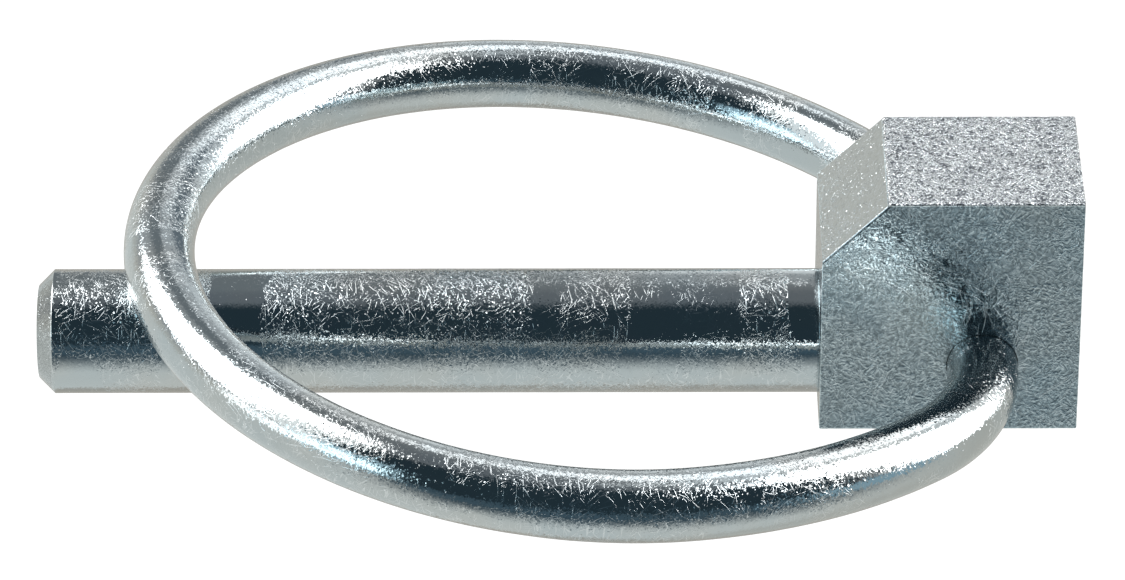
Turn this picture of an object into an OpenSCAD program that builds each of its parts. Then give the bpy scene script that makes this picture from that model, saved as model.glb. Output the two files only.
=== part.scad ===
// Linch pin: a round locking pin with a chamfered block head and a hinged spring-wire ring.
// X runs from the tip of the pin to the head, the front is -Y, and Z is up. The origin is on the
// pin's axis in the plane of the head's shoulder. The ring is closed, lying over the pin's tip end.

/* [Shank] */
// Diameter of the round shank
shank_d = 7.94; // [7.50:0.01:8.00]
// Length of the shank from the head's shoulder to its tip
shank_len = 49.7; // [48:0.1:60]
// Length of the 45 degree chamfer at the tip
tip_chamfer = 1.0; // [0.4:0.1:1.6]
// Diameter of the reduced tail inside the head
tail_d = 6; // [5.0:0.1:6.4]
// Depth of the tail inside the head
tail_len = 6.5; // [4.5:0.1:7.0]

/* [Head] */
// Length of the head along the shank's axis
head_len = 16.4; // [15.5:0.1:18.0]
// Width of the head along the ring's hinge axis
head_w = 11.0; // [10.0:0.1:11.4]
// Height of the head
head_h = 16.65; // [15.0:0.05:18.0]
// Distance from the shank's axis down to the head's underside
head_drop = 4.05; // [4.05:0.05:4.60]
// Leg of the 45 degree chamfer along the head's upper edge on the shank's side
head_chamfer = 4.2; // [3.0:0.1:5.0]

/* [Hinge] */
// Distance from the shoulder to the hinge axis
hinge_x = 10.25; // [10.2:0.05:10.6]
// Height of the hinge axis above the shank's axis
hinge_z = 0.75; // [0.75:0.05:0.85]
// Radius of the head's cross bore less the wire's nominal radius
hinge_clear = 0.05; // [0.04:0.01:0.08]

/* [Ring] */
// Diameter of the spring wire
wire_d = 4.5; // [4.0:0.1:4.5]
// Radius of the wide arc round the tip, to the wire's centre
wide_r = 25.8; // [25.6:0.1:26.0]
// Angle the wide arc turns through on the front side
front_wide = 107; // [106.5:0.1:107.5]
// Radius of the flatter flank arc on the front side
front_flank_r = 35.6; // [35.4:0.1:35.8]
// Angle the front flank arc turns through
front_flank = 28.9; // [28.5:0.1:29.3]
// Radius of the front bend next to the head
front_bend_r = 13.9; // [13.7:0.1:14.1]
// Angle the wide arc turns through on the back side
back_wide = 24.9; // [24.5:0.1:25.3]
// Radius of the long flank arc on the back side
back_flank_r = 26.8; // [26.7:0.05:26.9]
// Angle the back flank arc turns through
back_flank = 108.9; // [108.5:0.1:109.3]
// Straight wire between the head's back face and the start of the back bend
run_out = 1.6; // [1.4:0.1:1.8]
// Sideways float of the closed ring towards the front
float_y = 0.25; // [0.2:0.05:0.4]
// Distance of the wire's ends from the head's centre plane, inside the cross bore
end_gap = 0.9; // [0.3:0.1:1.5]
// Chamfer on each end of the wire
end_chamfer = 0.5; // [0.2:0.1:0.8]
// Slope of the closed ring up towards the tip, in degrees
closed_slope = 6.6; // [6.6:0.1:7]

/* [Hidden] */
$fn = 96;
wire_fn = 48;

shank_r = shank_d / 2;
tail_r = tail_d / 2;
wire_r = wire_d / 2;
tail_chamfer = 0.4;
// The 45 degree cone between shank and tail
cone_len = shank_r - tail_r;
// Space between the tail's end and the socket's floor
socket_gap = 0.3;
// Overlap of the socket's bore with its conical seat
seat_lap = 0.01;
// How far cuts run past the head's faces
overcut = 1;

// Neighbouring lengths of wire lap by this much, and the outer one of each pair is this much
// larger in radius
lap = 0.2;
lap_step = 0.02;

// The ring's path in its own plane: x = 0 is the hinge axis, the tip side is -x, and y = 0 runs
// through the tip. Arcs meet at tangents, so neighbouring centres lie on one shared normal.
function polar(centre, radius, angle) = centre + radius * [cos(angle), sin(angle)];

front_wide_end = 180 + front_wide;
front_flank_end = front_wide_end + front_flank;
back_wide_end = 180 - back_wide;
back_flank_end = back_wide_end - back_flank;

// Distance from the hinge axis to the wire's centre at the tip, from the front side's three arcs
reach = wide_r * (1 + cos(front_wide_end))
    + front_flank_r * (cos(front_flank_end) - cos(front_wide_end))
    + front_bend_r * (1 - cos(front_flank_end));
wide_centre = [wide_r - reach, 0];
front_flank_centre = polar(wide_centre, wide_r - front_flank_r, front_wide_end);
front_bend_centre = polar(front_flank_centre, front_flank_r - front_bend_r, front_flank_end);
back_flank_centre = polar(wide_centre, wide_r - back_flank_r, back_wide_end);

// The back flank is followed by a straight run, then a bend that meets the hinge axis at
// back_pin_y. The bend's radius makes it tangent to both.
run_start = polar(back_flank_centre, back_flank_r, back_flank_end);
back_pin_y = head_w / 2 + run_out + float_y;
back_bend_r = ((run_start.y - back_pin_y) * sin(back_flank_end)
    + run_start.x * cos(back_flank_end)) / (1 - cos(back_flank_end));
back_run = -(run_start.x + back_bend_r * (1 - cos(back_flank_end))) / sin(back_flank_end);

// Cylinder or cone on the shank's axis
module along_x(from, to, r_from, r_to) {
    translate([from, 0, 0]) rotate([0, 90, 0])
        cylinder(h = to - from, r1 = r_from, r2 = r_to);
}

// Block with a chamfered upper edge, a blind socket for the tail and a cross bore for the ring
module head_block() {
    color([0.62, 0.68, 0.70])
    difference() {
        translate([0, head_w / 2, -head_drop]) rotate([90, 0, 0])
            linear_extrude(height = head_w)
                polygon([
                    [0, 0], [head_len, 0], [head_len, head_h],
                    [head_chamfer, head_h], [0, head_h - head_chamfer]
                ]);
        // socket: clear of the shoulder, then a conical seat, then the tail's bore
        along_x(-overcut, 0, shank_r, shank_r);
        along_x(0, cone_len, shank_r, tail_r);
        along_x(cone_len - seat_lap, tail_len + socket_gap, tail_r, tail_r);
        // cross bore for both wire ends
        translate([hinge_x, 0, hinge_z]) rotate([90, 0, 0])
            cylinder(h = head_w + 2 * overcut, r = wire_r + hinge_clear, center = true);
    }
}

// Round shank with a chamfered tip and a coned, reduced tail
module shank() {
    color([0.70, 0.73, 0.75])
    rotate([0, 90, 0])
        rotate_extrude()
            polygon([
                [0, -shank_len], [shank_r - tip_chamfer, -shank_len],
                [shank_r, tip_chamfer - shank_len], [shank_r, 0],
                [tail_r, cone_len], [tail_r, tail_len - tail_chamfer],
                [tail_r - tail_chamfer, tail_len], [0, tail_len]
            ]);
}

function lapped_r(outer) = wire_r + (outer ? lap_step : 0);

// Arc of wire between two polar angles, carried on at both ends by the lap if it is the outer one
module wire_arc(centre, radius, from, to, outer = false) {
    lap_angle = outer ? lap / radius * 180 / PI : 0;
    translate([centre.x, centre.y, 0]) rotate([0, 0, from - lap_angle])
        rotate_extrude(angle = to - from + 2 * lap_angle)
            translate([radius, 0]) circle(r = lapped_r(outer), $fn = wire_fn);
}

// Straight wire along +y from its chamfered end, carried on by the lap if it is the outer one
module wire_pin(length, outer = false) {
    pin_r = lapped_r(outer);
    pin_len = length + (outer ? lap : 0);
    rotate([-90, 0, 0]) rotate_extrude()
        polygon([
            [0, 0], [pin_r - end_chamfer, 0], [pin_r, end_chamfer],
            [pin_r, pin_len], [0, pin_len]
        ]);
}

// One length of spring wire, both ends turned in on the hinge axis
module ring() {
    front_end_y = float_y - end_gap;
    back_end_y = float_y + end_gap;
    color([0.74, 0.77, 0.78])
    translate([hinge_x, -float_y, hinge_z]) rotate([0, closed_slope, 0]) {
        wire_arc(wide_centre, wide_r, back_wide_end, front_wide_end);
        // front side
        wire_arc(front_flank_centre, front_flank_r, front_wide_end, front_flank_end, outer = true);
        wire_arc(front_bend_centre, front_bend_r, front_flank_end, 360);
        translate([0, front_end_y, 0]) mirror([0, 1, 0])
            wire_pin(front_end_y - front_bend_centre.y, outer = true);
        // back side
        wire_arc(back_flank_centre, back_flank_r, back_flank_end, back_wide_end, outer = true);
        translate([run_start.x, run_start.y, 0]) rotate([0, 0, back_flank_end])
            rotate([90, 0, 0])
                cylinder(h = back_run, r = wire_r);
        wire_arc([-back_bend_r, back_pin_y], back_bend_r, 0, back_flank_end, outer = true);
        translate([0, back_end_y, 0])
            wire_pin(back_pin_y - back_end_y);
    }
}

head_block();
shank();
ring();
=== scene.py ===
import math

import bmesh
import bpy
import numpy as np
from mathutils import Matrix, Vector
from mathutils.geometry import delaunay_2d_cdt


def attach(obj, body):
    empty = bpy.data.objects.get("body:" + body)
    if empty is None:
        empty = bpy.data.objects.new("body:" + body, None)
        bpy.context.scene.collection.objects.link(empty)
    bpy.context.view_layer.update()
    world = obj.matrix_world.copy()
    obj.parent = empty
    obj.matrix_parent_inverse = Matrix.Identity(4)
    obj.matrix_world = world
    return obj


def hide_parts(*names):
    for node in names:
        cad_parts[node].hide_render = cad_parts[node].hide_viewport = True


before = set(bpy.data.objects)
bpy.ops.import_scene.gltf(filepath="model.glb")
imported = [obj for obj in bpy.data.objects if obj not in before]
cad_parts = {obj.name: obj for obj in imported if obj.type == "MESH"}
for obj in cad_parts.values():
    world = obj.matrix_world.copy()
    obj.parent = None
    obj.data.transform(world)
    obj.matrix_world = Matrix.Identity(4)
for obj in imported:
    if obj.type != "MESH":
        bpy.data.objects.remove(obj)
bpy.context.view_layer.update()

scene = bpy.context.scene
scene.view_settings.view_transform = "Standard"
scene.view_settings.look = "None"
scene.view_settings.exposure = 0.0
scene.view_settings.gamma = 1.0

# ---------------------------------------------------------------- dimensions, in millimetres
MM = 0.001

SHANK_R, SHANK_LEN = 3.97, 49.7
TIP = 1.0                            # chamfer round the shank's tip
TAIL_R, TAIL_LEN = 3.0, 6.5          # thinner end pressed into the head
TAIL_CHAMFER = 0.4
CONE = 0.97                          # length of the cone from shank to tail
SHANK_SIDES, SHANK_STEP, SHANK_ROUND = 144, 0.3, 0.09

HEAD_LEN, HEAD_W = 16.4, 11.0        # along X and along Y
HEAD_LOW, HEAD_HIGH = -4.05, 12.6    # z of its underside and top
HEAD_CHAMFER = 4.2                   # the slant over the shank side
EDGE_SOFT = 0.10                     # rounding where the outline meets the front and back faces
CORNER_R = 0.12                      # rounding of the outline's corners
HEAD_STEP = 0.16                     # mesh spacing of the skin
HEAD_OUTLINE = [np.array(corner) for corner in (   # (x, z)
    (0.0, HEAD_LOW), (HEAD_LEN, HEAD_LOW), (HEAD_LEN, HEAD_HIGH),
    (HEAD_CHAMFER, HEAD_HIGH), (0.0, HEAD_HIGH - HEAD_CHAMFER),
)]

HINGE = (10.25, 0.0, 0.75)           # middle of the bore
BORE_R = 2.28
BORE_FLARE, BORE_FLARE_DEPTH = 0.01, 0.02
CUTTER_SIDES = 128

WIRE_R, WIRE_CHAMFER = 2.25, 0.5
WIRE_SIDES, WIRE_STEP = 96, 0.3
END_GAP = 0.9                        # from the middle of the ring's opening to each wire end
FLOAT_Y = 0.25                       # offset of the opening along Y in the ring's own plane
SLOPE = 6.6                          # tilt of the ring in degrees

FLOOR_Z, FLOOR_HALF = -62.0, 6000.0

CAP_U = 200.0                        # u where the end caps of a tube are laid out


# ---------------------------------------------------------------- relief and outline helpers
def value_noise(p, seed, scale):
    """Smooth value noise of points p (N, 3) in mm, at scale cells per mm, between -1 and 1."""
    n = 64
    grid = np.random.default_rng(seed).uniform(-1.0, 1.0, (n, n, n))
    q = p * scale + 17.3
    cell = np.floor(q).astype(int)
    f = q - cell
    f = f * f * f * (f * (f * 6 - 15) + 10)
    total = np.zeros(len(p))
    for dx in (0, 1):
        for dy in (0, 1):
            for dz in (0, 1):
                weight = (
                    (f[:, 0] if dx else 1 - f[:, 0])
                    * (f[:, 1] if dy else 1 - f[:, 1])
                    * (f[:, 2] if dz else 1 - f[:, 2])
                )
                total += weight * grid[
                    (cell[:, 0] + dx) % n, (cell[:, 1] + dy) % n, (cell[:, 2] + dz) % n
                ]
    return total


def waviness(p, layers):
    """Sum of noise layers at points p, each layer (depth in mm, seed, cells per mm)."""
    return sum(depth * value_noise(p, seed, scale) for depth, seed, scale in layers)


def unit(vector):
    return vector / np.linalg.norm(vector)


def circle(n):
    """Cosine and sine of n even steps round a turn."""
    return [(math.cos(2 * math.pi * k / n), math.sin(2 * math.pi * k / n)) for k in range(n)]


def fillet(before, corner, after, radius, inset=0.0, segments=4):
    """Points of the arc that rounds a corner, the arc's own radius lessened by inset."""
    to_before, to_after = unit(before - corner), unit(after - corner)
    half = math.acos(float(np.clip(to_before @ to_after, -1, 1))) / 2
    centre = corner + unit(to_before + to_after) * radius / math.sin(half)
    start = corner + to_before * radius / math.tan(half)
    stop = corner + to_after * radius / math.tan(half)
    angle0 = math.atan2(start[1] - centre[1], start[0] - centre[0])
    angle1 = math.atan2(stop[1] - centre[1], stop[0] - centre[0])
    turn = (angle1 - angle0 + math.pi) % (2 * math.pi) - math.pi
    points = []
    for j in range(segments + 1):
        angle = angle0 + turn * j / segments
        points.append(centre + (radius - inset) * np.array([math.cos(angle), math.sin(angle)]))
    return points


# ---------------------------------------------------------------- mesh helpers
def make_object(name, verts_mm, faces, uvs=None):
    mesh = bpy.data.meshes.new(name)
    mesh.from_pydata([tuple(float(c) * MM for c in v) for v in verts_mm], [], faces)
    mesh.validate()
    mesh.update()
    if uvs is not None:
        layer = mesh.uv_layers.new(name="surface_mm")
        for poly in mesh.polygons:
            for loop, uv in zip(poly.loop_indices, uvs[poly.index]):
                layer.data[loop].uv = uv
    ob = bpy.data.objects.new(name, mesh)
    scene.collection.objects.link(ob)
    return ob


def smooth(ob, degrees):
    mesh = ob.data
    mesh.polygons.foreach_set("use_smooth", [True] * len(mesh.polygons))
    mesh.set_sharp_from_angle(angle=math.radians(degrees))
    mesh.update()


def tube(rings, stations, radius):
    """Closed tube through rings of points.

    Returns vertices, faces and the (length, girth) of every face corner in mm."""
    count, n = len(rings), len(rings[0])
    verts = np.vstack([*rings, np.mean(rings[0], axis=0), np.mean(rings[-1], axis=0)])
    girth = [2 * math.pi * radius * k / n for k in range(n + 1)]
    faces, uvs = [], []
    for i in range(count - 1):
        s0, s1 = stations[i], stations[i + 1]
        for k in range(n):
            a, b = i * n + k, i * n + (k + 1) % n
            faces.append((a, b, b + n, a + n))
            uvs.append(((s0, girth[k]), (s0, girth[k + 1]), (s1, girth[k + 1]), (s1, girth[k])))
    for cap, end in enumerate((0, count - 1)):
        mid_u = CAP_U + end
        rim = [(mid_u + radius * c, radius * s) for c, s in circle(n)]
        for k in range(n):
            pair = (k, (k + 1) % n) if cap else ((k + 1) % n, k)
            faces.append((end * n + pair[0], end * n + pair[1], count * n + cap))
            uvs.append((rim[pair[0]], rim[pair[1]], (mid_u, 0.0)))
    return verts, faces, uvs


# ---------------------------------------------------------------- ring: one swept spring wire
# Radii in mm and sweeps in degrees of the arcs, each tangent to the next.
WIDE_R = 25.8                                # round the far left, through angle 180
FRONT_WIDE_SWEEP, BACK_WIDE_SWEEP = 107.0, 24.9
FRONT_FLAT_R, FRONT_FLAT_SWEEP = 35.6, 28.9
BACK_FLAT_R, BACK_FLAT_SWEEP = 26.8, 108.9
FRONT_BEND_R = 13.9                          # the bend that turns the wire into the bore
BACK_RUN_OUT = 1.6                           # straight wire outside the head's back face


def direction(degrees):
    return np.array([math.cos(math.radians(degrees)), math.sin(math.radians(degrees))])


def wire_path():
    """Points and unit tangents of the wire in the ring's plane, from front end to back end.

    The origin is on the hinge, both wire ends lie along Y there, and the arcs run clockwise."""
    front_wide = 180 + FRONT_WIDE_SWEEP      # angle where the wide arc meets the front flat arc
    front_flat = front_wide + FRONT_FLAT_SWEEP
    back_wide = 180 - BACK_WIDE_SWEEP
    back_flat = back_wide - BACK_FLAT_SWEEP
    wide_dir, flat_dir = direction(front_wide), direction(front_flat)
    reach = (
        WIDE_R * (1 + wide_dir[0])
        + FRONT_FLAT_R * (flat_dir[0] - wide_dir[0])
        + FRONT_BEND_R * (1 - flat_dir[0])
    )
    wide_centre = np.array([WIDE_R - reach, 0.0])
    front_flat_centre = wide_centre + (WIDE_R - FRONT_FLAT_R) * wide_dir
    front_bend_centre = front_flat_centre + (FRONT_FLAT_R - FRONT_BEND_R) * flat_dir
    back_flat_centre = wide_centre + (WIDE_R - BACK_FLAT_R) * direction(back_wide)
    # a straight run and a last bend bring the wire from the back flat arc into the bore
    cos_back, sin_back = direction(back_flat)
    leave = back_flat_centre + BACK_FLAT_R * direction(back_flat)
    land = HEAD_W / 2 + BACK_RUN_OUT + FLOAT_Y
    back_bend_r = ((leave[1] - land) * sin_back + leave[0] * cos_back) / (1 - cos_back)
    run = -(leave[0] + back_bend_r * (1 - cos_back)) / sin_back

    points, tangents = [], []

    def line(start, stop):
        start, stop = np.array(start, float), np.array(stop, float)
        length = np.linalg.norm(stop - start)
        tangent = (stop - start) / length
        count = math.ceil(length / WIRE_STEP)
        for k in range(count):
            points.append(start + tangent * length * k / count)
            tangents.append(tangent)

    def arc(centre, radius, angle0, angle1):
        count = math.ceil(math.radians(angle0 - angle1) * radius / WIRE_STEP)
        for k in range(count):
            spoke = direction(angle0 + (angle1 - angle0) * k / count)
            points.append(centre + radius * spoke)
            tangents.append(np.array([spoke[1], -spoke[0]]))

    back_end = (0.0, FLOAT_Y + END_GAP)
    line((0.0, FLOAT_Y - END_GAP), (0.0, front_bend_centre[1]))
    arc(front_bend_centre, FRONT_BEND_R, 360, front_flat)
    arc(front_flat_centre, FRONT_FLAT_R, front_flat, front_wide)
    arc(wide_centre, WIDE_R, front_wide, back_wide)
    arc(back_flat_centre, BACK_FLAT_R, back_wide, back_flat)
    line(leave, leave + np.array([sin_back, -cos_back]) * run)
    arc(np.array([-back_bend_r, land]), back_bend_r, back_flat, 0)
    line((0.0, land), back_end)
    points.append(np.array(back_end))
    tangents.append(np.array([0.0, -1.0]))
    return points, tangents


def build_ring():
    points, tangents = wire_path()
    steps = np.linalg.norm(np.diff(points, axis=0), axis=1)
    lengths = np.concatenate([[0], np.cumsum(steps)])
    total = lengths[-1]

    # sections as (point, tangent, radius, length along the wire), with a chamfer at both ends
    chamfer = WIRE_CHAMFER
    first, last = tangents[0], tangents[-1]
    sections = [
        (points[0], first, WIRE_R - chamfer, 0.0),
        (points[0] + first * chamfer, first, WIRE_R, chamfer),
    ]
    sections += [
        (p, t, WIRE_R, s) for p, t, s in zip(points, tangents, lengths)
        if chamfer < s < total - chamfer
    ]
    sections += [
        (points[-1] - last * chamfer, last, WIRE_R, total - chamfer),
        (points[-1], last, WIRE_R - chamfer, total),
    ]

    slope = math.radians(SLOPE)
    tilt = np.array([
        [math.cos(slope), 0, math.sin(slope)], [0, 1, 0], [-math.sin(slope), 0, math.cos(slope)],
    ])
    shift = np.array([HINGE[0], -FLOAT_Y, HINGE[2]])
    up = np.array([0.0, 0.0, 1.0])
    turn = np.array(circle(WIRE_SIDES))
    rings = []
    for point, tangent, radius, _ in sections:
        across = np.array([-tangent[1], tangent[0], 0.0])
        flat = np.array([*point, 0.0]) + radius * (turn[:, :1] * across + turn[:, 1:] * up)
        rings.append(flat @ tilt.T + shift)
    stations = np.array([section[3] for section in sections])
    verts, faces, uvs = tube(rings, stations, WIRE_R)

    # faint waviness a few microns deep, fading out towards the wire ends
    count = len(rings) * WIRE_SIDES
    spoke = np.array(rings) - np.mean(rings, axis=1, keepdims=True)
    spoke /= np.linalg.norm(spoke, axis=2, keepdims=True)
    sink, fade_length = 0.004, 6.0
    relief = waviness(verts[:count], ((0.004, 11, 0.45), (0.0025, 12, 1.6))) - sink
    fade = np.clip(np.minimum(stations, total - stations) / fade_length, 0, 1)
    relief = relief * np.repeat(fade, WIRE_SIDES)
    verts[:count] += spoke.reshape(-1, 3) * relief[:, None]
    return make_object("ring_wire", verts, faces, uvs)


# ---------------------------------------------------------------- shank: turned bar with its tail
def shank_profile():
    """(x, radius) from the tip to the tail's end, finely spaced and clear of the axis."""
    corners = [np.array(corner) for corner in (
        (-SHANK_LEN, 0.0), (-SHANK_LEN, SHANK_R - TIP), (-SHANK_LEN + TIP, SHANK_R),
        (-0.001, SHANK_R), (CONE, TAIL_R), (TAIL_LEN - TAIL_CHAMFER, TAIL_R),
        (TAIL_LEN, TAIL_R - TAIL_CHAMFER), (TAIL_LEN, 0.0),
    )]
    outline = [corners[0]]
    for before, corner, after in zip(corners, corners[1:], corners[2:]):
        outline += fillet(before, corner, after, SHANK_ROUND)
    outline.append(corners[-1])
    dense = []
    for a, b in zip(outline, outline[1:]):
        count = math.ceil(np.linalg.norm(b - a) / SHANK_STEP)
        dense += [a + (b - a) * (k + 1) / count for k in range(count)]
    return [p for p in dense if p[1] > 0.02]


def build_shank():
    profile = shank_profile()
    run = np.concatenate([[0], np.cumsum(np.linalg.norm(np.diff(profile, axis=0), axis=1))])
    turn = circle(SHANK_SIDES)
    rings = [[(x, r * c, r * s) for c, s in turn] for x, r in profile]
    verts, faces, uvs = tube(rings, run - SHANK_LEN, SHANK_R)

    # waviness a few microns deep on the barrel, clear of the tip and the shoulder
    count = len(rings) * SHANK_SIDES
    radial = verts[:count].copy()
    radial[:, 0] = 0
    radial /= np.linalg.norm(radial, axis=1, keepdims=True)
    x = verts[:count, 0]
    barrel = (x > -SHANK_LEN + TIP + 0.4) & (x < -0.6)
    sink = 0.004
    relief = waviness(verts[:count], ((0.003, 21, 0.5), (0.002, 22, 1.8))) - sink
    verts[:count] += radial * (relief * barrel)[:, None]
    return make_object("shank_bar", verts, faces, uvs)


# ---------------------------------------------------------------- head block: dense, soft-edged skin
def head_loop(inset):
    """Closed loop round the head's outline, moved inwards by inset."""
    arcs = []
    for k, corner in enumerate(HEAD_OUTLINE):
        after = HEAD_OUTLINE[(k + 1) % len(HEAD_OUTLINE)]
        arcs.append(fillet(HEAD_OUTLINE[k - 1], corner, after, CORNER_R, inset))
    loop = []
    for arc, following in zip(arcs, arcs[1:] + arcs[:1]):
        start, stop = arc[-1], following[0]
        count = int(round(np.linalg.norm(stop - start) / HEAD_STEP))
        loop += arc
        loop += [start + (stop - start) * j / count for j in range(1, count)]
    return loop


def head_rows():
    """(y, inset) of every loop from the front face to the back face."""
    half_w = HEAD_W / 2
    rounding = []
    for j in range(5):
        angle = math.pi / 2 * (4 - j) / 4
        rounding.append((
            -half_w + EDGE_SOFT * (1 - math.sin(angle)), EDGE_SOFT * (1 - math.cos(angle)),
        ))
    straight = HEAD_W - 2 * EDGE_SOFT
    count = int(round(straight / HEAD_STEP))
    middle = [(-half_w + EDGE_SOFT + straight * j / count, 0.0) for j in range(1, count)]
    return rounding + middle + [(-y, inset) for y, inset in reversed(rounding)]


def face_grid(rim):
    """Staggered grid of points that fills a side face, clear of its edge."""
    low, high = np.array(rim).min(0), np.array(rim).max(0)
    columns = np.arange(low[0] + HEAD_STEP * 0.7, high[0] - HEAD_STEP * 0.5, HEAD_STEP)
    levels = np.arange(low[1] + HEAD_STEP * 0.7, high[1] - HEAD_STEP * 0.5, HEAD_STEP)
    margin = EDGE_SOFT + HEAD_STEP * 0.45
    sides = [
        (a, (b - a) / np.linalg.norm(b - a))
        for a, b in zip(HEAD_OUTLINE, HEAD_OUTLINE[1:] + HEAD_OUTLINE[:1])
    ]
    grid = []
    for row, z in enumerate(levels):
        for x in columns + (HEAD_STEP / 2 if row % 2 else 0):
            if all(-e[1] * (x - a[0]) + e[0] * (z - a[1]) >= margin for a, e in sides):
                grid.append(Vector((x, z)))
    return grid


def close_face(verts, faces, start, n, faces_back):
    """Triangulate the flat face inside the loop of n vertices that begins at start."""
    rim = [Vector((verts[start + k][0], verts[start + k][2])) for k in range(n)]
    y = verts[start][1]
    edges = [(k, (k + 1) % n) for k in range(n)]
    result = delaunay_2d_cdt(rim + face_grid(rim), edges, [], 1, 1e-6)
    index = []
    for point, sources in zip(result[0], result[3]):
        if sources and sources[0] < n:
            index.append(start + sources[0])
        else:
            index.append(len(verts))
            verts.append((point.x, y, point.y))
    for triangle in result[2]:
        corners = [index[q] for q in triangle]
        a, b, c = (np.array(verts[q]) for q in corners[:3])
        if (np.cross(b - a, c - a)[1] > 0) != faces_back:
            corners.reverse()
        faces.append(tuple(corners))


def vertex_normals(verts, faces):
    mesh = bpy.data.meshes.new("tmp_head")
    mesh.from_pydata([tuple(v) for v in verts], [], faces)
    mesh.update()
    normals = np.zeros(len(verts) * 3, np.float32)
    mesh.vertex_normals.foreach_get("vector", normals)
    bpy.data.meshes.remove(mesh)
    return normals.reshape(-1, 3).astype(float)


def build_head():
    loops = [[(q[0], y, q[1]) for q in head_loop(inset)] for y, inset in head_rows()]
    n = len(loops[0])
    verts = [v for loop in loops for v in loop]
    faces = []
    for i in range(len(loops) - 1):
        for k in range(n):
            a, b = i * n + k, i * n + (k + 1) % n
            faces.append((a, a + n, b + n, b))
    close_face(verts, faces, 0, n, faces_back=False)
    close_face(verts, faces, (len(loops) - 1) * n, n, faces_back=True)

    # unevenness and wrinkles some microns deep
    verts = np.array(verts)
    ridge_depth, sink = 0.004, 0.014
    ridges = 1 - np.abs(value_noise(verts, 33, 2.1)) * 2
    relief = waviness(verts, ((0.008, 31, 0.35), (0.004, 32, 1.1))) + ridge_depth * ridges - sink
    verts = verts + vertex_normals(verts, faces) * relief[:, None]
    return make_object("head_body", verts, faces)


def cutter(name, profile, axis, at):
    """Closed solid of revolution about X or Y through at; profile is (along, radius)."""
    n = CUTTER_SIDES
    verts, faces = [], []
    for along, r in profile:
        for c, s in circle(n):
            p = (r * c, along, -r * s) if axis == "Y" else (along, r * c, r * s)
            verts.append(tuple(p[j] + at[j] for j in range(3)))
    last = len(profile) - 1
    for i in range(last):
        for k in range(n):
            a, b = i * n + k, i * n + (k + 1) % n
            faces.append((a, b, b + n, a + n))
    faces.append(tuple(reversed(range(n))))
    faces.append(tuple(last * n + k for k in range(n)))
    ob = make_object(name, verts, faces)
    shell = bmesh.new()
    shell.from_mesh(ob.data)
    bmesh.ops.recalc_face_normals(shell, faces=shell.faces)
    shell.to_mesh(ob.data)
    shell.free()
    return ob


def cut(ob, tool):
    """Cut the tool's shape out of ob, leaving one bare material index, and remove the tool."""
    modifier = ob.modifiers.new("cut", "BOOLEAN")
    modifier.operation = "DIFFERENCE"
    modifier.object = tool
    modifier.solver = "MANIFOLD"
    depsgraph = bpy.context.evaluated_depsgraph_get()
    mesh = bpy.data.meshes.new_from_object(ob.evaluated_get(depsgraph))
    ob.modifiers.clear()
    old = ob.data
    ob.data = mesh
    mesh.materials.clear()
    mesh.polygons.foreach_set("material_index", [0] * len(mesh.polygons))
    mesh.name = old.name + "_cut"
    bpy.data.meshes.remove(old)
    bpy.data.objects.remove(tool)


def cut_bore(head):
    """Hinge bore through the head, barely flared at both mouths."""
    half_w, flared = HEAD_W / 2, BORE_R + BORE_FLARE
    half = [(half_w - BORE_FLARE_DEPTH, BORE_R), (half_w, flared), (7.0, flared)]
    profile = [(-y, r) for y, r in reversed(half)] + half
    cut(head, cutter("bore_tool", profile, "Y", HINGE))


def cut_socket(head):
    """Coned socket that takes the shank's tail."""
    profile = [(-1.0, SHANK_R), (0.0, SHANK_R), (CONE, TAIL_R), (TAIL_LEN + 0.3, TAIL_R)]
    cut(head, cutter("socket_tool", profile, "X", (0.0, 0.0, 0.0)))


def box_uv(ob):
    """Flat coordinates in mm for every face, projected along its nearest main direction."""
    mesh = ob.data
    layer = mesh.uv_layers.new(name="surface_mm")
    co = np.zeros(len(mesh.vertices) * 3, np.float32)
    mesh.vertices.foreach_get("co", co)
    co = co.reshape(-1, 3) * 1000
    out = np.zeros((len(mesh.loops), 2), np.float32)
    slant = np.array([-1, 0, 1]) / math.sqrt(2)
    # each side has its own offset in u, so that the sides never overlap
    for poly in mesh.polygons:
        nx, ny, nz = poly.normal
        side = max(
            (abs(ny), "y_side"), (nz, "top"), (-nz, "bottom"), (nx, "right"), (-nx, "left"),
            (float(np.dot(slant, (nx, ny, nz))), "chamfer"),
        )[1]
        for loop in poly.loop_indices:
            x, y, z = co[mesh.loops[loop].vertex_index]
            out[loop] = {
                "y_side": (x + (40 if ny > 0 else 0), z),
                "top": (x + 80, y),
                "bottom": (x + 120, y),
                "chamfer": (160 + (x + z) / math.sqrt(2), y),
                "left": (200 + y, z),
                "right": (200 + y + 40, z),
            }[side]
    layer.data.foreach_set("uv", out.ravel())


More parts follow.
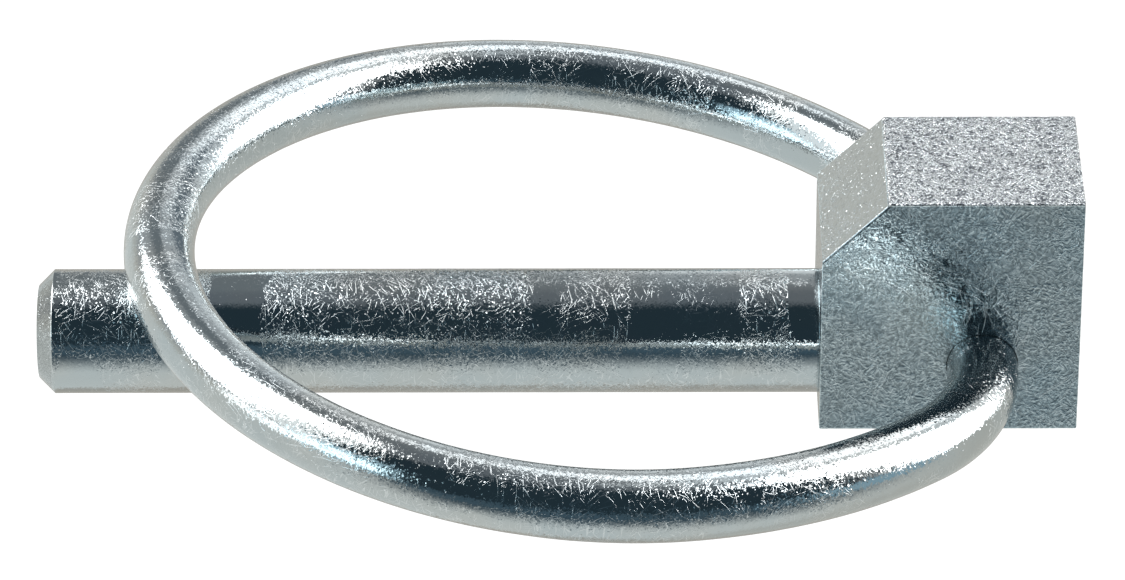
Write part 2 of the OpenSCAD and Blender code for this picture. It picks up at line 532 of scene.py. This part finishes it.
# ---------------------------------------------------------------- node helpers
class Net:
    """Short calls for filling an emptied node tree."""

    def __init__(self, tree):
        self.nodes = tree.nodes
        self.links = tree.links
        self.nodes.clear()

    def put(self, kind, inputs=None, **settings):
        """New node; inputs maps a socket's name or index to a value or to an output."""
        node = self.nodes.new(kind)
        for key, value in settings.items():
            setattr(node, key, value)
        for key, value in (inputs or {}).items():
            socket = node.inputs[key]
            if isinstance(value, bpy.types.NodeSocket):
                self.links.new(value, socket)
            else:
                socket.default_value = (*value, 1.0) if socket.type == "RGBA" else value
        return node

    def math(self, op, *values):
        return self.put("ShaderNodeMath", dict(enumerate(values)), operation=op).outputs[0]

    def chain(self, op, *values):
        total = values[0]
        for value in values[1:]:
            total = self.math(op, total, value)
        return total

    def add(self, *values):
        return self.chain("ADD", *values)

    def mul(self, *values):
        return self.chain("MULTIPLY", *values)

    def ramp(self, x, start, stop, low=0.0, high=1.0, kind="SMOOTHSTEP"):
        """Value low up to x = start, rising or falling to high at x = stop."""
        return self.put("ShaderNodeMapRange", {
            "Value": x, "From Min": start, "From Max": stop, "To Min": low, "To Max": high,
        }, interpolation_type=kind).outputs["Result"]

    def window(self, x, start, stop, soft_start, soft_stop):
        """1 between start and stop, falling to 0 over the soft widths outside them."""
        return self.mul(
            self.ramp(x, start - soft_start, start),
            self.ramp(x, stop, stop + soft_stop, low=1.0, high=0.0),
        )

    def vec(self, op, *vectors):
        return self.put("ShaderNodeVectorMath", dict(enumerate(vectors)), operation=op).outputs[0]

    def scaled(self, vector, scale):
        node = self.put("ShaderNodeVectorMath", {0: vector, "Scale": scale}, operation="SCALE")
        return node.outputs[0]

    def centred(self, colour, scale):
        """Vector about zero from a random colour."""
        return self.scaled(self.vec("SUBTRACT", colour, (0.5, 0.5, 0.5)), scale)

    def blend(self, factor, under, over):
        """Mix of two colours."""
        return self.put("ShaderNodeMix", {0: factor, 6: under, 7: over}, data_type="RGBA").outputs[2]

    def mix(self, factor, a, b):
        """Mix of two numbers."""
        return self.put("ShaderNodeMix", {0: factor, 2: a, 3: b}, data_type="FLOAT").outputs[0]

    def channel(self, colour, index):
        return self.put("ShaderNodeSeparateColor", {0: colour}).outputs[index]

    def axes(self, vector):
        return self.put("ShaderNodeSeparateXYZ", {0: vector}).outputs

    def noise(self, vector, scale, detail=2.0, rough=0.5, distortion=0.0, dims="3D"):
        return self.put("ShaderNodeTexNoise", {
            "Vector": vector, "Scale": scale, "Detail": detail, "Roughness": rough,
            "Distortion": distortion,
        }, noise_dimensions=dims).outputs

    def voronoi(self, vector, scale, random=1.0, dims="3D", metric="EUCLIDEAN"):
        return self.put("ShaderNodeTexVoronoi", {
            "Vector": vector, "Scale": scale, "Randomness": random,
        }, voronoi_dimensions=dims, distance=metric).outputs


def shaded(colour, factors):
    return tuple(c * f for c, f in zip(colour, factors))


class Plate(Net):
    """A zinc-plated metal material, with what both kinds of plating share."""

    def __init__(self, name, seed):
        self.material = bpy.data.materials.new(name)
        self.material.use_nodes = True
        super().__init__(self.material.node_tree)
        self.seed = seed
        self.coord = self.put("ShaderNodeTexCoord").outputs["Object"]
        self.here = self.in_mm()
        self.pos = self.vec("ADD", self.here, (seed, seed * 0.7, seed * 1.3))
        uv_map = self.put("ShaderNodeUVMap", uv_map="surface_mm")
        self.uv = self.vec("ADD", uv_map.outputs[0], (seed * 3.1, seed * 1.7, 0))

    def in_mm(self):
        return self.scaled(self.coord, 1000.0)

    def grains(self, pos, scale, power):
        """Crystal cells, and a weight per cell that a power leaves high for only a few."""
        cells = self.voronoi(pos, scale)
        other = self.voronoi(self.vec("ADD", pos, (5.0, 9.0, 2.0)), scale)
        return cells, self.math("POWER", self.channel(other["Color"], 0), power)

    def scratches(self, table, first_seed, bend_scale, bend_detail, bend_reach):
        """Thin curved scratches: crests of noise stretched in several directions.

        Table rows are (angle in degrees, width mm, length mm, crest start, crest full)."""
        bend = self.noise(self.uv, bend_scale, bend_detail, rough=0.5, dims="2D")
        moved = self.vec("ADD", self.uv, self.centred(bend["Color"], bend_reach))
        layers = []
        for k, (angle, across, along, low, high) in enumerate(table, first_seed):
            turned = self.put("ShaderNodeVectorRotate", {
                "Vector": moved, "Angle": math.radians(angle),
            }, rotation_type="Z_AXIS").outputs[0]
            size = self.vec("MULTIPLY", turned, (1.0 / along, 1.0 / across, 1.0))
            seed = k + self.seed
            size = self.vec("ADD", size, (seed * 7.31, seed * 3.17, 0))
            lines = self.noise(size, scale=1.0, detail=0.0, rough=0.4, dims="2D")
            layers.append(self.ramp(lines["Fac"], low, high))
        return self.chain("MAXIMUM", *layers)

    def clouded(self, tone, cool, warm, stain_scale, stain_shade):
        """Tone drifting from cool to warm with faint darker stains, and the stain noise."""
        drift = self.noise(self.pos, scale=0.12, detail=2.0, rough=0.6)
        drift = self.ramp(drift["Fac"], start=0.35, stop=0.65)
        colour = self.blend(drift, shaded(tone, cool), shaded(tone, warm))
        stain = self.noise(self.pos, stain_scale, detail=3.0, rough=0.65)["Fac"]
        stain_strength = 0.10
        factor = self.mul(self.ramp(stain, start=0.52, stop=0.72), stain_strength)
        return self.blend(factor, colour, shaded(tone, [stain_shade] * 3)), stain

    def finish(self, colour, roughness, height, tip):
        """Shader whose normal is bumped by height and then tipped per crystal."""
        bump = self.put("ShaderNodeBump", {
            "Strength": 1.0, "Distance": 0.000018, "Height": height,
        }).outputs[0]
        shader = self.put("ShaderNodeBsdfPrincipled", {
            "Base Color": colour, "Metallic": 1.0, "Roughness": roughness,
            "Normal": self.vec("NORMALIZE", self.vec("ADD", bump, tip)),
        })
        self.put("ShaderNodeOutputMaterial", {"Surface": shader.outputs[0]})
        return self.material


# ---------------------------------------------------------------- materials
ZINC_SCRATCHES = (
    (14, 0.11, 1.5, 0.755, 0.850), (38, 0.10, 1.1, 0.745, 0.840),
    (66, 0.11, 1.0, 0.740, 0.835), (97, 0.11, 1.4, 0.740, 0.835),
    (128, 0.10, 1.2, 0.745, 0.840), (155, 0.11, 1.4, 0.755, 0.850),
)
BLOCK_GRAZES = (
    (35, 0.15, 3.8, 0.80, 0.84), (52, 0.14, 2.4, 0.79, 0.83),
    (-38, 0.15, 3.4, 0.81, 0.85), (110, 0.15, 3.0, 0.82, 0.86),
)


def zinc(name, flake, calm, specks, seed, dull_end=None):
    """Bright zinc: mostly calm, with tipped crystals, matt specks and scuffed patches.

    flake is how far crystals tip where scuffed, calm the share of it elsewhere, specks how
    common matt specks are, and dull_end the x below which the metal is dull."""
    tone = (0.50, 0.53, 0.535)
    scratch_colour, speck_colour = (0.90, 0.91, 0.91), (0.95, 0.96, 0.96)
    net = Plate(name, seed)

    # blocky patches that are scuffed more or less
    jitter = net.noise(net.uv, scale=0.9, detail=1.0, rough=0.6, dims="2D")
    wobble = net.vec("ADD", net.uv, net.scaled(jitter["Color"], scale=0.35))
    cells_per_mm = (0.30, 0.10, 1.0)
    stretched = net.vec("MULTIPLY", wobble, cells_per_mm)
    cells = net.voronoi(stretched, scale=1.0, random=0.6, dims="2D", metric="CHEBYCHEV")
    cloud = net.noise(net.pos, scale=0.33, detail=2.0, rough=0.6)
    patch_share, cloud_share = 0.70, 0.55
    wear = net.math(
        "MULTIPLY_ADD", net.channel(cells["Color"], 0), patch_share,
        net.mul(cloud["Fac"], cloud_share),
    )
    scuff = net.ramp(wear, start=0.36, stop=0.95, kind="LINEAR")

    # crystal grains, a few of them tipped far, most hardly at all
    fine = net.noise(net.pos, scale=6.0, detail=2.0, rough=0.6)
    warped = net.vec("ADD", net.pos, net.centred(fine["Color"], scale=0.16))
    flakes, weight = net.grains(warped, scale=11.0, power=2.2)
    weight_gain, least_tip, tip_gain = 1.0, 0.05, 1.7
    strength = net.mul(
        net.mix(scuff, flake * calm, flake), net.add(net.mul(weight, weight_gain), least_tip)
    )
    tip = net.centred(flakes["Color"], net.mul(strength, tip_gain))

    # matt white specks: only the cells whose random blue is above a limit
    dots = net.voronoi(warped, scale=5.4)
    calm_limit = 0.975
    limit = net.mix(scuff, calm_limit, calm_limit - 0.20 * specks)
    speck = net.mul(
        net.ramp(dots["Distance"], start=0.15, stop=0.24, low=1.0, high=0.0),
        net.math("GREATER_THAN", net.channel(dots["Color"], 2), limit),
    )

    # fine unevenness, and short scratches mostly where it is scuffed
    fine_height, scratch_height, scratch_tint = 0.22, 0.30, 0.35
    lines = net.scratches(
        ZINC_SCRATCHES, first_seed=1, bend_scale=0.35, bend_detail=0.0, bend_reach=0.9
    )
    lines = net.mul(lines, net.ramp(scuff, start=0.05, stop=0.55, low=0.06))
    height = net.add(
        net.mul(net.math("SUBTRACT", fine["Fac"], 0.5), fine_height),
        net.mul(lines, scratch_height),
    )

    # blue-white to yellow-grey clouding, cleaner where it is scratched
    colour, stain = net.clouded(
        tone, cool=(0.97, 1.0, 1.015), warm=(1.03, 1.0, 0.97), stain_scale=0.8, stain_shade=0.76
    )
    colour = net.blend(net.mul(lines, scratch_tint), colour, scratch_colour)
    colour = net.blend(speck, colour, speck_colour)
    if dull_end is not None:
        x = net.axes(net.in_mm())[0]
        end = net.ramp(x, start=dull_end - 0.15, stop=dull_end, low=1.0, high=0.0)
        mottle = net.ramp(flakes["Distance"], start=0.25, stop=0.5, low=0.75, high=0.25)
        colour = net.blend(net.mul(end, mottle), colour, shaded(tone, [0.45] * 3))

    plain_rough, stain_rough, scuff_rough, speck_rough = 0.06, 0.04, 0.02, 0.62
    roughness = net.add(
        plain_rough,
        net.mul(net.math("SUBTRACT", stain, 0.5), stain_rough),
        net.mul(scuff, scuff_rough),
    )
    return net.finish(colour, net.mix(speck, roughness, speck_rough), height, tip)


def zinc_block(name, seed):
    """Plated block: satin wrinkled sides with grazes and painted shade and highlights on their
    grain, a plainer slant with painted shade on its front and back edges, a crinkled top painted
    paler with painted shade in its creases.
    """
    tone = (0.42, 0.50, 0.53)
    # painted light: a paler tone painted on the top, and painted shade for the creases of its
    # crinkle
    painted_top_highlight, painted_crease_shade = (0.63, 0.645, 0.65), (0.20, 0.215, 0.235)
    # painted highlight for the peaks of the side grain; the grazes keep their own paler colour
    painted_peak_highlight, graze_colour = (0.72, 0.79, 0.81), (0.80, 0.84, 0.85)
    # painted shade for the edges at the front and back of the slant; the slant keeps its own colour
    slant_colour, painted_edge_shade = (0.53, 0.555, 0.555), (0.12, 0.14, 0.15)
    net = Plate(name, seed)
    x, y, z = net.axes(net.here)

    # masks of the top and of the slant, whose plane has z - x constant
    slant_plane = HEAD_HIGH - HEAD_CHAMFER
    top = net.ramp(z, start=HEAD_HIGH - 0.2, stop=HEAD_HIGH - 0.1)
    slant = net.mul(
        net.ramp(net.math("SUBTRACT", z, x), start=slant_plane - 0.15, stop=slant_plane - 0.07),
        net.math("SUBTRACT", 1.0, top),
    )
    bright = net.math("MAXIMUM", top, slant)

    # wrinkles: folds of a warped noise, their strength coming and going over the faces
    bent = net.noise(net.pos, scale=0.8, detail=1.0, rough=0.5)
    warped = net.vec("ADD", net.pos, net.scaled(bent["Color"], scale=1.1))
    grain = net.noise(warped, scale=5.0, detail=0.6, rough=0.6, distortion=0.5)
    fold = net.noise(
        net.vec("ADD", warped, (7.0, 3.0, 5.0)), scale=1.7, detail=2.0, rough=0.6, distortion=0.9
    )
    fold_distance = net.math("ABSOLUTE", net.math("SUBTRACT", fold["Fac"], 0.5))
    crest = net.ramp(fold_distance, start=0.0, stop=0.05, low=1.0, high=0.0)
    spread = net.noise(net.pos, scale=0.30, detail=2.0, rough=0.55)
    worn = net.ramp(spread["Fac"], start=0.38, stop=0.62)
    # each height goes from its first to its second value where the mask is full
    grain_height = net.mul(net.mix(worn, a=1.1, b=2.0), net.mix(slant, a=1.0, b=0.5))
    crest_height = net.mul(net.mix(worn, a=0.08, b=0.55), net.mix(slant, a=1.0, b=0.2))
    height = net.add(net.mul(grain["Fac"], grain_height), net.mul(crest, crest_height))
    # the crisp crinkle of the top
    crinkle = net.noise(warped, scale=5.6, detail=0.5, rough=0.5, distortion=1.0)
    height = net.add(height, net.mul(crinkle["Fac"], net.mix(top, a=0.30, b=4.5)))

    # curved grazes, longer than scratches, none on the slant
    lines = net.scratches(
        BLOCK_GRAZES, first_seed=11, bend_scale=0.16, bend_detail=1.0, bend_reach=5.0
    )
    height = net.add(height, net.mul(lines, net.mix(slant, a=0.45, b=0.0)))

    # fine crystal grains on top of the wrinkles, strongest on the top
    nudged = net.vec("ADD", net.pos, net.centred(grain["Color"], scale=0.12))
    flakes, weight = net.grains(nudged, scale=10.0, power=net.mix(top, a=3.0, b=1.2))
    side_tip, top_tip, slant_tip = 0.10, 0.60, 0.34
    strength = net.add(side_tip, net.mul(top, top_tip), net.mul(slant, slant_tip))
    tip = net.centred(flakes["Color"], net.mul(weight, strength))

    colour, stain = net.clouded(
        tone, cool=(0.96, 1.0, 1.02), warm=(1.03, 1.0, 0.98), stain_scale=1.3, stain_shade=0.8
    )
    # painted shade darkening the creases of the crinkle, over the paler tone painted on the top
    crease_shade_mask = net.ramp(crinkle["Fac"], start=0.425, stop=0.475, low=1.0, high=0.0)
    colour = net.blend(top, colour, net.blend(crease_shade_mask, painted_top_highlight, painted_crease_shade))
    # painted shade in the dips and painted highlights on the peaks of the grain on the sides
    plain = net.math("SUBTRACT", 1.0, bright)
    dip_shade_mask = net.mul(net.ramp(grain["Fac"], start=0.42, stop=0.47, low=0.42, high=0.0), plain)
    colour = net.blend(dip_shade_mask, colour, shaded(tone, [0.40] * 3))
    peak_highlight_mask = net.mul(net.ramp(grain["Fac"], start=0.57, stop=0.61, low=0.0, high=0.45), plain)
    colour = net.blend(peak_highlight_mask, colour, painted_peak_highlight)
    colour = net.blend(slant, colour, slant_colour)
    # painted shade on the edges at the front and back of the slant, dimming their reflection
    edge_shade_strength = 0.65
    edge_shade_mask = net.mul(
        net.ramp(net.math("ABSOLUTE", y), start=HEAD_W / 2 - 0.13, stop=HEAD_W / 2 - 0.05),
        net.ramp(net.math("SUBTRACT", z, x), start=slant_plane - 0.30, stop=slant_plane - 0.22),
        net.math("SUBTRACT", 1.0, top),
    )
    colour = net.blend(net.mul(edge_shade_mask, edge_shade_strength), colour, painted_edge_shade)
    colour = net.blend(net.mul(lines, net.mix(slant, a=0.30, b=0.0)), colour, graze_colour)

    stain_rough = 0.05
    roughness = net.add(
        net.mix(bright, a=0.095, b=0.06),
        net.mul(net.math("SUBTRACT", stain, 0.5), stain_rough),
    )
    return net.finish(colour, roughness, height, tip)


def floor_pale():
    """Pale glowing floor, clear when seen from below."""
    material = bpy.data.materials.new("floor_pale")
    material.use_nodes = True
    net = Net(material.node_tree)
    paper = net.put("ShaderNodeBsdfDiffuse", {"Color": (0.16, 0.16, 0.16)})
    glow = net.put("ShaderNodeEmission", {"Color": (1, 1, 1), "Strength": 0.86})
    both = net.put("ShaderNodeAddShader", {0: paper.outputs[0], 1: glow.outputs[0]})
    clear = net.put("ShaderNodeBsdfTransparent")
    side = net.put("ShaderNodeNewGeometry")
    pick = net.put("ShaderNodeMixShader", {
        0: side.outputs["Backfacing"], 1: both.outputs[0], 2: clear.outputs[0],
    })
    net.put("ShaderNodeOutputMaterial", {"Surface": pick.outputs[0]})
    return material


# ---------------------------------------------------------------- pieces
ring = build_ring()
smooth(ring, degrees=40)
shank = build_shank()
smooth(shank, degrees=32)
head = build_head()
cut_bore(head)
cut_socket(head)
box_uv(head)
smooth(head, degrees=32)

for ob, body, node in (
    (ring, "ring", "ring"), (shank, "pin", "shank"), (head, "pin", "head_block"),
):
    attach(ob, body)
    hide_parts(node)

ring.data.materials.append(zinc("zinc_ring", flake=0.34, calm=0.45, specks=0.7, seed=3.0))
shank.data.materials.append(zinc(
    "zinc_shank", flake=0.38, calm=0.20, specks=1.0, seed=9.0, dull_end=TIP - SHANK_LEN,
))
head.data.materials.append(zinc_block("zinc_head", seed=1.0))

# ---------------------------------------------------------------- floor, seen only by the camera
floor = make_object("floor", [
    (-FLOOR_HALF, -FLOOR_HALF, FLOOR_Z), (FLOOR_HALF, -FLOOR_HALF, FLOOR_Z),
    (FLOOR_HALF, FLOOR_HALF, FLOOR_Z), (-FLOOR_HALF, FLOOR_HALF, FLOOR_Z),
], [(0, 1, 2, 3)])
floor.data.materials.append(floor_pale())
floor.visible_glossy = False
floor.visible_shadow = False
floor.visible_diffuse = False

# ---------------------------------------------------------------- studio painted on the world
# Azimuth 0 faces the viewer, +90 is right, -90 left and 180 behind; elevation 0 is level.
# Patches, painted in order: (azimuth window), (elevation window), strength, colour.
# A window is (start, stop, soft width before, soft width after), all in degrees.
PATCHES = (
    # pale blue window at the left end of the dark room, its bright middle, and one further left
    ((-62, -42, 5, 8), (3, 33, 5, 7), 1.0, (0.52, 0.78, 0.92)),
    ((-63, -44, 4, 6), (8, 23, 4, 5), 1.0, (2.2, 2.9, 3.2)),
    ((-86, -66, 5, 4), (0, 12, 3, 5), 1.0, (2.3, 2.4, 2.45)),
    # blue line along the foot of the dark room, and a paler piece at its right end
    ((-30, 66, 16, 14), (-9, 3, 5, 5), 0.75, (0.085, 0.145, 0.19)),
    ((60, 80, 8, 6), (-10, 2, 4, 6), 1.0, (0.34, 0.53, 0.65)),
    # soft boxes: left, its dimmer side, right, and behind
    ((-142, -83, 5, 5), (21, 67, 3, 10), 1.0, (6.0, 6.1, 6.2)),
    ((-80, -62, 4, 4), (21, 62, 4, 8), 1.0, (1.3, 1.36, 1.38)),
    ((84, 121, 5, 4), (3, 50, 3, 12), 1.0, (6.4, 6.5, 6.6)),
    ((143, 170, 5, 8), (36, 52, 4, 5), 1.0, (2.1, 2.15, 2.2)),
)


def paint_sky(net, azimuth, elevation):
    """Walls and ceiling."""
    sky = net.blend(
        net.ramp(elevation, start=20, stop=70), (0.55, 0.58, 0.60), (0.24, 0.26, 0.28)
    )
    left_wall = net.blend(
        net.ramp(elevation, start=4, stop=14), (0.70, 0.71, 0.67), (0.50, 0.52, 0.53)
    )
    sky = net.blend(net.window(azimuth, -170, -20, 10, 10), sky, left_wall)
    left_back = net.mul(
        net.ramp(azimuth, start=-166, stop=-154, low=1.0, high=0.0),
        net.ramp(elevation, start=0, stop=10),
    )
    sky = net.blend(left_back, sky, (0.23, 0.26, 0.28))
    pale_right = net.window(azimuth, 122, 141, 4, 6)
    sky = net.blend(pale_right, sky, (0.84, 0.88, 0.90))
    dark_right = net.mul(
        net.window(azimuth, 143, 157, 6, 6), net.window(elevation, 2, 33, 6, 5)
    )
    sky = net.blend(dark_right, sky, (0.20, 0.24, 0.275))
    pale_behind = net.mul(
        net.ramp(azimuth, start=158, stop=168), net.window(elevation, -12, 10, 4, 14)
    )
    sky = net.blend(pale_behind, sky, (0.98, 1.03, 1.05))
    zenith = net.ramp(elevation, start=62, stop=80)
    return net.blend(zenith, sky, (0.19, 0.215, 0.24))


def paint_table(net, azimuth, elevation):
    """Table, dimmer to the right and behind, and dark low towards the viewer."""
    table = net.blend(
        net.ramp(azimuth, start=60, stop=110), (0.81, 0.855, 0.845), (0.66, 0.68, 0.65)
    )
    behind = net.ramp(net.math("ABSOLUTE", azimuth), start=152, stop=170)
    table = net.blend(behind, table, (0.52, 0.505, 0.465))
    falloff = net.mul(
        net.window(azimuth, -18, 48, 48, 44), net.ramp(elevation, start=-54, stop=-12)
    )
    return net.blend(falloff, table, (0.055, 0.095, 0.125))


def build_world():
    world = bpy.data.worlds.new("studio")
    scene.world = world
    world.use_nodes = True
    net = Net(world.node_tree)
    x, y, z = net.axes(net.put("ShaderNodeTexCoord").outputs["Generated"])
    degrees = 180 / math.pi
    bounded = net.math("MAXIMUM", net.math("MINIMUM", z, 1.0), -1.0)
    elevation = net.mul(net.math("ARCSINE", bounded), degrees)
    azimuth = net.mul(net.math("ARCTAN2", x, net.mul(y, -1.0)), degrees)

    sky = paint_sky(net, azimuth, elevation)
    ground = paint_table(net, azimuth, elevation)
    colour = net.blend(net.ramp(elevation, start=-5, stop=3), ground, sky)
    # dark room on the viewer's side, wider high up
    room = net.mul(
        net.window(azimuth, -36, 66, 12, 12), net.window(elevation, -2, 72, 6, 16)
    )
    room_high = net.mul(
        net.window(azimuth, -62, 72, 8, 12), net.window(elevation, 38, 66, 6, 14)
    )
    colour = net.blend(net.math("MAXIMUM", room, room_high), colour, (0.026, 0.047, 0.062))
    for across, upward, strength, patch_colour in PATCHES:
        patch = net.mul(net.window(azimuth, *across), net.window(elevation, *upward))
        if strength != 1.0:
            patch = net.mul(patch, strength)
        colour = net.blend(patch, colour, patch_colour)

    # the camera itself sees plain white
    studio = net.put("ShaderNodeBackground", {"Color": colour, "Strength": 1.0})
    white = net.put("ShaderNodeBackground", {"Color": (1.0, 1.0, 1.0), "Strength": 1.0})
    path = net.put("ShaderNodeLightPath")
    pick = net.put("ShaderNodeMixShader", {
        0: path.outputs["Is Camera Ray"], 1: studio.outputs[0], 2: white.outputs[0],
    })
    net.put("ShaderNodeOutputWorld", {"Surface": pick.outputs[0]})
    world.cycles.sampling_method = "MANUAL"
    world.cycles.sample_map_resolution = 1024


build_world()


# ---------------------------------------------------------------- camera
def build_camera():
    """Long lens from the front, looking down; its place is in metres."""
    place = Vector((-0.01632335388, -0.38993082881, 0.24108118787))
    forward = Vector((8.94170897e-05, 0.850562331, -0.525874237)).normalized()
    right = Vector((0.999998762, -9.02215426e-04, -1.28923121e-03)).normalized()
    up = right.cross(forward).normalized()
    data = bpy.data.cameras.new("camera")
    camera = bpy.data.objects.new("camera", data)
    scene.collection.objects.link(camera)
    turn = Matrix((right, up, -forward)).transposed().to_4x4()
    camera.matrix_world = Matrix.Translation(place) @ turn
    data.sensor_fit = "HORIZONTAL"
    data.sensor_width = 36.0
    data.lens = 229.435584
    data.shift_y = 0.0358377778
    data.clip_start = 0.01
    data.clip_end = 20.0
    scene.camera = camera


build_camera()
